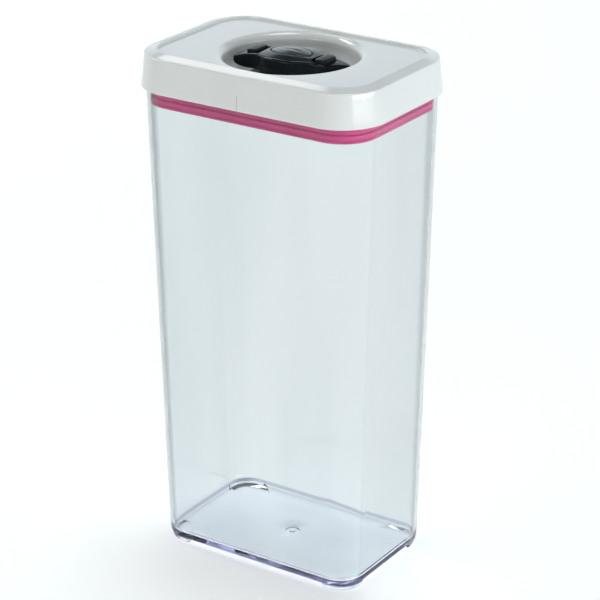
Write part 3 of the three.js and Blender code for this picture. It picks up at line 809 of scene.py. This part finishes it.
def make_plate():
    """The plate whose edge sits in the gasket's slot, with a rib round its top."""
    low = PLATE_LOW[2]
    top = low + PLATE_THICK
    edge = GAP + GASKET_SLOT + GAP
    rib = 9
    rib_top = PLATE_HIGH[2]
    hole = 8.8
    boss = 16  # radius outside the shallow groove round the nut
    rings = [
        circle_ring(hole, low + 0.2),
        circle_ring(hole + 0.3, low),
        circle_ring(13.2, low),
        circle_ring(13.6, low + 0.35),
        circle_ring(15.6, low + 0.35),
        circle_ring(boss, low),
        mouth_ring(14, low),
        mouth_ring(13.6, low + 0.4),
        mouth_ring(9.6, low + 0.4),
        mouth_ring(9.2, low),
        mouth_ring(edge + 0.4, low),
        mouth_ring(edge, low + 0.4),
        mouth_ring(edge, top - 0.4),
        mouth_ring(edge + 0.4, top),
        mouth_ring(rib - 0.4, top),
        mouth_ring(rib, top + 0.4),
        mouth_ring(rib, rib_top - 0.2),
        mouth_ring(rib + 0.2, rib_top),
        mouth_ring(rib + 1.2, rib_top),
        mouth_ring(rib + 1.4, rib_top - 0.2),
        mouth_ring(rib + 1.4, top + 0.4),
        mouth_ring(rib + 1.8, top),
        circle_ring(boss, top),
        circle_ring(hole + 0.2, top),
        circle_ring(hole, top - 0.2),
    ]
    dress(skin("press_plate", rings, loop=True), "natural_plastic", "plate", "pressure_plate")


def make_nut_cap():
    """The lift nut's lower flange, smooth and closed where it faces the food."""
    low = NUT_LOW[2]
    seat = PLATE_LOW[2] - GAP
    radius = NUT_HIGH[0]
    sleeve = 8.5
    top = NUT_HIGH[2]
    bore = 6.4
    floor = low + 1.3
    profile = [
        (1.2, low + 0.25),
        (5.6, low + 0.25),
        (6.0, low),
        (radius - 1.0, low),
        (radius - 0.35, low + 0.2),
        (radius, low + 0.7),
        (radius, seat - 0.2),
        (radius - 0.2, seat),
        (sleeve + 0.2, seat),
        (sleeve, seat + 0.2),
        (sleeve, top - 0.4),
        (sleeve - 0.4, top),
        (bore + 0.3, top),
        (bore, top - 0.3),
        (bore, floor),
        (1.2, floor),
    ]
    dress(turned("nut_cap", profile), "acetal", "plate", "lift_nut")


# ---------------------------------------------------------------------------------------------
# Handle
# ---------------------------------------------------------------------------------------------

# Right half of the handle's outline, from the middle of its front to the middle of its back.
HANDLE_OUTLINE = [
    (0, -15.3),
    (7.5, -14.1),
    (12.4, -10.8),
    (16.5, -8.2),
    (23, -6.8),
    (26, -4.2),
    (29.5, 1.5),
    (32, 7),
    (30.6, 10.2),
    (26.5, 9.9),
    (19.5, 9.2),
    (15.5, 9.8),
    (12, 11.9),
    (7.5, 14.2),
]
OUTLINE_STEPS = 10  # points on each stretch of the outline
BADGE_PROUD = 0.15
HANDLE_APEX = BADGE_HIGH[2] - BADGE_PROUD
HANDLE_SLOPE = 0.19
HANDLE_BLEND = 5
HANDLE_TIP = 33
HANDLE_TIP_START = 26
HANDLE_TIP_FALL = 0.015
HANDLE_NOSE = 9
HANDLE_NOSE_RISE = 3.6
HANDLE_EDGE = 1.1
HUB_RADIUS = 15
HUB_BORE = 10.8
BAR_Z = HANDLE_LOW[2] + 2.4
BADGE_GROOVE = (0.8, 0.35)  # beside the badge's ends and beside its long sides


def closed_curve(points, steps):
    """A centripetal Catmull-Rom curve through a closed list of points."""
    result = []
    count = len(points)
    for i in range(count):
        p = [Vector(points[(i + k) % count]) for k in (-1, 0, 1, 2)]
        t = [0.0]
        for a, b in zip(p, p[1:]):
            t.append(t[-1] + math.sqrt((b - a).length))
        for step in range(steps):
            u = t[1] + (t[2] - t[1]) * step / steps
            a1 = p[0].lerp(p[1], (u - t[0]) / (t[1] - t[0]))
            a2 = p[1].lerp(p[2], (u - t[1]) / (t[2] - t[1]))
            a3 = p[2].lerp(p[3], (u - t[2]) / (t[3] - t[2]))
            b1 = a1.lerp(a2, (u - t[0]) / (t[2] - t[0]))
            b2 = a2.lerp(a3, (u - t[1]) / (t[3] - t[1]))
            result.append(b1.lerp(b2, (u - t[1]) / (t[2] - t[1])))
    return result


def outline_normals(points):
    """The outward direction at each point of a closed anticlockwise outline."""
    normals = []
    for i, point in enumerate(points):
        along = points[(i + 1) % len(points)] - points[i - 1]
        normals.append(Vector((along.y, -along.x)).normalized())
    return normals


def handle_top(x, y):
    """Height of the handle's top, which slopes away from its centre like a blunt cone."""
    radius = math.hypot(x, y)
    cone = HANDLE_SLOPE * (math.hypot(radius, HANDLE_BLEND) - HANDLE_BLEND)
    return HANDLE_APEX - cone - HANDLE_TIP_FALL * max(radius - HANDLE_TIP_START, 0) ** 2


def handle_underside(x, y):
    """Height of the bar's underside, which curves up into a thin nose at each tip."""
    part = min(max(1 - (HANDLE_TIP - math.hypot(x, y)) / HANDLE_NOSE, 0), 1)
    return BAR_Z + HANDLE_NOSE_RISE * (1 - math.sqrt(1 - part * part))


def cut(piece, cutters):
    """Takes closed meshes away from a piece."""
    for cutter in cutters:
        modifier = piece.modifiers.new("cut", "BOOLEAN")
        modifier.operation = "DIFFERENCE"
        modifier.solver = "EXACT"
        modifier.object = cutter
    evaluated = piece.evaluated_get(bpy.context.evaluated_depsgraph_get())
    mesh = bpy.data.meshes.new_from_object(evaluated)
    piece.modifiers.clear()
    piece.data = mesh
    smooth(mesh)
    for cutter in cutters:
        bpy.data.objects.remove(cutter)


PAD_CENTRE = ((PAD_HIGH[0] + PAD_LOW[0]) / 2, (PAD_HIGH[1] + PAD_LOW[1]) / 2)
PAD_CORNER = 2.4
PAD_GROOVE = 1.8


def pad_outline(grow=0.0):
    half_x = (PAD_HIGH[0] - PAD_LOW[0]) / 2 + grow
    half_y = (PAD_HIGH[1] - PAD_LOW[1]) / 2 + grow
    return half_x, half_y, PAD_CORNER + grow


def pad_rings(outline, centre, pairs, top=None):
    """Rings of a rounded rectangle about a centre. A top gives the height from x and y."""
    rings = []
    for inset, z in pairs:
        ring = []
        for angle in even_rays(ROUND_RAYS):
            distance = rectangle_radius(angle, outline, inset)
            x = centre[0] + distance * math.cos(angle)
            y = centre[1] + distance * math.sin(angle)
            ring.append((x, y, z + (top(x, y) if top else 0)))
        rings.append(ring)
    return rings


def pad_pocket(side):
    """The space for a pad, open towards the hub."""
    half_x, half_y, radius = pad_outline(GAP)
    outline = (half_x + PAD_GROOVE / 2, half_y, radius)
    centre = (side * (PAD_CENTRE[0] - PAD_GROOVE / 2), side * PAD_CENTRE[1])
    pairs = [(0, PAD_LOW[2] - GAP), (0, HANDLE_APEX + 1)]
    return skin("pocket", pad_rings(outline, centre, pairs))


def make_handle():
    """The bar with its domed hub, and pockets for the badge and the pads."""
    left = [(-x, -y) for x, y in HANDLE_OUTLINE]
    outline = closed_curve(HANDLE_OUTLINE + left, OUTLINE_STEPS)
    normals = outline_normals(outline)

    def level_ring(inset, z):
        return [(*(point - normal * inset), z) for point, normal in zip(outline, normals)]

    def top_ring(inset, drop):
        """The outline moved inwards, at a depth below the handle's sloping top."""
        ring = level_ring(inset, 0)
        return [(x, y, handle_top(x, y) - drop) for x, y, _ in ring]

    def under_ring(inset, lift):
        """The outline moved inwards, at a height above the bar's curved underside."""
        ring = level_ring(inset, 0)
        return [(x, y, handle_underside(x, y) + lift) for x, y, _ in ring]

    def side_ring():
        """The outline a little below the edge, but above the nose's thin underside."""
        ring = []
        for x, y, _ in level_ring(0, 0):
            low = handle_underside(x, y) + 0.5
            ring.append((x, y, max(low, handle_top(x, y) - HANDLE_EDGE - 2)))
        return ring

    def round_ring(radius, z):
        angles = [math.atan2(point.y, point.x) for point in outline]
        return [(radius * math.cos(angle), radius * math.sin(angle), z) for angle in angles]

    half_x, half_y = (BADGE_HIGH[axis] + BADGE_GROOVE[axis] for axis in (0, 1))

    def oval_ring(grow, z=None, drop=0.0):
        """A ring round the badge's pocket, level or at a depth below the sloping top."""
        ring = []
        for point in outline:
            angle = math.atan2(point.y / half_y, point.x / half_x)
            x = (half_x + grow) * math.cos(angle)
            y = (half_y + grow) * math.sin(angle)
            ring.append((x, y, handle_top(x, y) - drop if z is None else z))
        return ring

    hub_z = HANDLE_LOW[2]
    rings = [
        round_ring(HUB_RADIUS - 0.3, hub_z),
        round_ring(HUB_RADIUS, hub_z + 0.3),
        round_ring(HUB_RADIUS, BAR_Z - 0.3),
        under_ring(0.4, 0),
        under_ring(0, 0.4),
        side_ring(),
    ]
    edge_steps = 6
    for step in range(edge_steps + 1):
        angle = math.pi / 2 * step / edge_steps
        inset = HANDLE_EDGE * (1 - math.cos(angle))
        rings.append(top_ring(inset, HANDLE_EDGE * (1 - math.sin(angle))))
    flat = top_ring(HANDLE_EDGE + 0.6, 0)
    pocket_edge = oval_ring(0.5)
    rings.append(flat)
    for part in (0.2, 0.4, 0.6, 0.8):
        ring = ring_between(flat, pocket_edge, part)
        rings.append([(x, y, handle_top(x, y)) for x, y, _ in ring])
    floor = BADGE_LOW[2] - GAP
    screw_head, screw_hole, socket = 4.1, 1.9, 6.9  # radii
    screw_seat = floor - 2.2
    socket_top = screw_seat - 0.9
    rings += [
        pocket_edge,
        oval_ring(0.2, drop=0.08),
        oval_ring(0.0, drop=0.3),
        oval_ring(0.0, z=floor + 0.2),
        oval_ring(-0.2, z=floor),
        round_ring(4.4, floor),
        round_ring(screw_head, floor - 0.3),
        round_ring(screw_head, screw_seat),
        round_ring(screw_hole, screw_seat),
        round_ring(screw_hole, socket_top),
        round_ring(socket, socket_top),
        round_ring(socket, hub_z + GAP),
        round_ring(HUB_BORE, hub_z + GAP),
        round_ring(11.1, hub_z),
    ]
    handle = skin("handle_bar", rings, loop=True)
    cut(handle, [pad_pocket(-1), pad_pocket(1)])
    dress(handle, "handle_plastic", "handle", "handle_shell")


def make_pad(side):
    """A soft pad whose crowned top stands proud of the bar."""
    low = PAD_LOW[2]
    high = PAD_HIGH[2]
    crown = 0.35
    lean = 0.2
    centre = (side * PAD_CENTRE[0], side * PAD_CENTRE[1])
    half_x, half_y, _ = pad_outline()

    def fall(x, y):
        """The crowned top's height over its highest point, 0 or less. It also leans outwards."""
        across = (x - centre[0]) / half_x
        along = (y - centre[1]) / half_y
        round_off = crown * (across * across + 0.6 * along * along)
        return -round_off - lean * (1 + side * across)

    edge = 0.8
    pairs = [(0.3, low), (0, low + 0.3), (0, low + 1)]
    rings = pad_rings(pad_outline(), centre, pairs)
    over = arc((edge, high - edge), edge, 0, 90, 6)
    over += [(edge + 0.6, high), (edge + 1.4, high), (edge + 2.2, high)]
    rings += pad_rings(pad_outline(), centre, over, fall)
    side_name = "right" if side > 0 else "left"
    pad = skin(f"soft_pad_{side_name}", rings)
    dress(pad, "pad_plastic", "handle", f"grip_pad_{side_name}")


def make_badge():
    """The blank oval insert on the hub."""
    low = BADGE_LOW[2]
    half_x, half_y = BADGE_HIGH[0], BADGE_HIGH[1]

    def oval(inset, z=None, drop=0.0):
        """A ring of the badge, level or at a depth below its sloping top."""
        ring = []
        for angle in even_rays(BADGE_RAYS):
            x = (half_x - inset) * math.cos(angle)
            y = (half_y - inset) * math.sin(angle)
            ring.append((x, y, handle_top(x, y) + BADGE_PROUD - drop if z is None else z))
        return ring

    rings = [oval(0.3, z=low), oval(0, z=low + 0.3)]
    edge = 0.4
    edge_steps = 4
    for step in range(edge_steps + 1):
        angle = math.pi / 2 * step / edge_steps
        rings.append(oval(edge * (1 - math.cos(angle)), drop=edge * (1 - math.sin(angle))))
    rings += [oval(inset) for inset in (1.2, 2.6, 4.4, 5.8)]
    dress(skin("badge_insert", rings), "badge_plastic", "handle", "handle_badge")


def make_handle_base():
    """The disc under the hub."""
    low, high = HANDLE_BASE_LOW[2], HANDLE_BASE_HIGH[2]
    radius = HANDLE_BASE_HIGH[0]
    bore = HUB_BORE
    profile = [
        (bore + 0.3, low),
        (radius - 0.6, low),
        (radius - 0.15, low + 0.2),
        (radius, low + 0.6),
        (radius, high - 0.6),
        (radius - 0.15, high - 0.2),
        (radius - 0.6, high),
        (bore + 0.3, high),
        (bore, high - 0.3),
        (bore, low + 0.3),
    ]
    dress(turned("handle_disc", profile, loop=True), "handle_plastic", "handle", "handle_base")


# ---------------------------------------------------------------------------------------------
# The small pieces inside stay as the CAD made them, with finer materials
# ---------------------------------------------------------------------------------------------


def dress_inner_nodes():
    slots = {row["node"]: row["material_slot"] for row in frame["record"]["subparts"]}
    for name, node in frame["nodes"].items():
        if name not in replaced_nodes:
            node.material_slots[0].material = MATERIALS[slots[name]]


# ---------------------------------------------------------------------------------------------
# Studio: a pale floor, soft light and the camera
# ---------------------------------------------------------------------------------------------


FLOOR_REACH_M = 12.0
FLOOR_LEVEL_M = -0.00015  # a hair below the feet, so that light gets out of them


def make_floor():
    material = Nodes("studio_floor").surface(
        ((3, 2), (0.965, 0.97, 0.97), (0.975, 0.98, 0.98)),
        ((12, 3), 0.6, 0.75),
        ((20, 1), 0.02, 0.0001),
        Specular_IOR_Level=0.2,
    )
    mesh = bpy.data.meshes.new("studio_floor")
    sides = ((-1, -1), (1, -1), (1, 1), (-1, 1))
    corners = [(x * FLOOR_REACH_M, y * FLOOR_REACH_M, FLOOR_LEVEL_M) for x, y in sides]
    mesh.from_pydata(corners, [], [(0, 1, 2, 3)])
    mesh.materials.append(material)
    floor = bpy.data.objects.new("studio_floor", mesh)
    bpy.context.scene.collection.objects.link(floor)


def add_softbox(name, place, target, size, power, colour):
    """A rectangular light at a place in metres, aimed at a target, with a power in watts."""
    light = bpy.data.lights.new(name, "AREA")
    light.shape = "RECTANGLE"
    light.size, light.size_y = size
    light.energy = power
    light.color = colour
    lamp = bpy.data.objects.new(name, light)
    lamp.location = place
    aim = Vector(target) - Vector(place)
    lamp.rotation_euler = aim.to_track_quat("-Z", "Y").to_euler()
    bpy.context.scene.collection.objects.link(lamp)


def make_world():
    """A soft sky, bright near the horizon, warm in front of the canister and cool behind it."""
    world = bpy.data.worlds.new("studio")
    world.use_nodes = True
    sky = Tree(world.node_tree)
    direction = sky.axes(sky.coordinates["Generated"])
    strength = sky.ramp(direction["Z"], 1.24, 0.2, 0.41, 0.51, interpolation_type="SMOOTHSTEP")
    behind = sky.ramp(direction["Y"], 0, 1, -0.3, 0.5)
    warm, cool = (1.0, 0.98, 0.945, 1), (0.9, 0.985, 1.03, 1)
    background = world.node_tree.nodes["Background"]
    sky.link(sky.mix(behind, warm, cool), background.inputs["Color"])
    sky.link(strength, background.inputs["Strength"])
    bpy.context.scene.world = world


def make_studio():
    make_floor()
    make_world()
    lid = (0, 0, 0.29)
    body = (0, 0, 0.2)
    cool = (0.94, 0.99, 1.0)
    warm = (1.0, 0.96, 0.9)
    # Name, place, what it is aimed at, size, power and colour.
    add_softbox("strip_softbox", (-1.56, 1.38, 2.46), lid, (0.46, 1.2), 6.5, (1.0, 1.0, 0.99))
    add_softbox("right_softbox", (3.0, -0.3, 0.37), body, (3.2, 0.7), 60, (0.96, 1.0, 0.995))
    add_softbox("top_softbox", (-0.2, 1.3, 6.6), body, (2.2, 2.2), 128, cool)
    add_softbox("left_softbox", (-4.5, 0.6, 4.2), body, (2.0, 2.0), 116, cool)
    add_softbox("front_softbox", (-0.6, -5.0, 1.4), body, (2.4, 1.6), 47, warm)


def set_light_paths():
    """Enough bounces for light that runs along inside the clear walls."""
    paths = bpy.context.scene.cycles
    paths.max_bounces = 24
    paths.glossy_bounces = 20
    paths.transmission_bounces = 20


CAMERA_AZIMUTH = 33.94  # degrees, like the next two
CAMERA_ELEVATION = 22.97
CAMERA_ROLL = -0.21
CAMERA_DISTANCE_M = 1.3092
CAMERA_TARGET_Z_M = 0.14493
CAMERA_LENS = 140.957
CAMERA_SENSOR = 36
CAMERA_SHIFT = (0.0127, 0.01085)  # as parts of the picture's width


def make_camera():
    azimuth, elevation = math.radians(CAMERA_AZIMUTH), math.radians(CAMERA_ELEVATION)
    level = math.cos(elevation)
    back = Vector((math.sin(azimuth) * level, -math.cos(azimuth) * level, math.sin(elevation)))
    camera = bpy.data.cameras.new("camera")
    camera.sensor_width = CAMERA_SENSOR
    camera.lens = CAMERA_LENS
    camera.shift_x, camera.shift_y = CAMERA_SHIFT
    camera.clip_start = 0.05
    camera.clip_end = 60
    view = bpy.data.objects.new("camera", camera)
    view.location = Vector((0, 0, CAMERA_TARGET_Z_M)) + back * CAMERA_DISTANCE_M
    facing = (-back).to_track_quat("-Z", "Y")
    roll = Quaternion((0, 0, 1), math.radians(CAMERA_ROLL))
    view.rotation_mode = "QUATERNION"
    view.rotation_quaternion = facing @ roll
    bpy.context.scene.collection.objects.link(view)
    bpy.context.scene.camera = view


# ---------------------------------------------------------------------------------------------
# Assembly
# ---------------------------------------------------------------------------------------------

make_container()
make_lid()
make_plug()
make_gasket()
make_plate()
make_nut_cap()
make_handle()
make_handle_base()
make_badge()
make_pad(-1)
make_pad(1)
dress_inner_nodes()
make_studio()
set_light_paths()
make_camera()
bpy.context.scene.view_settings.view_transform = "Standard"
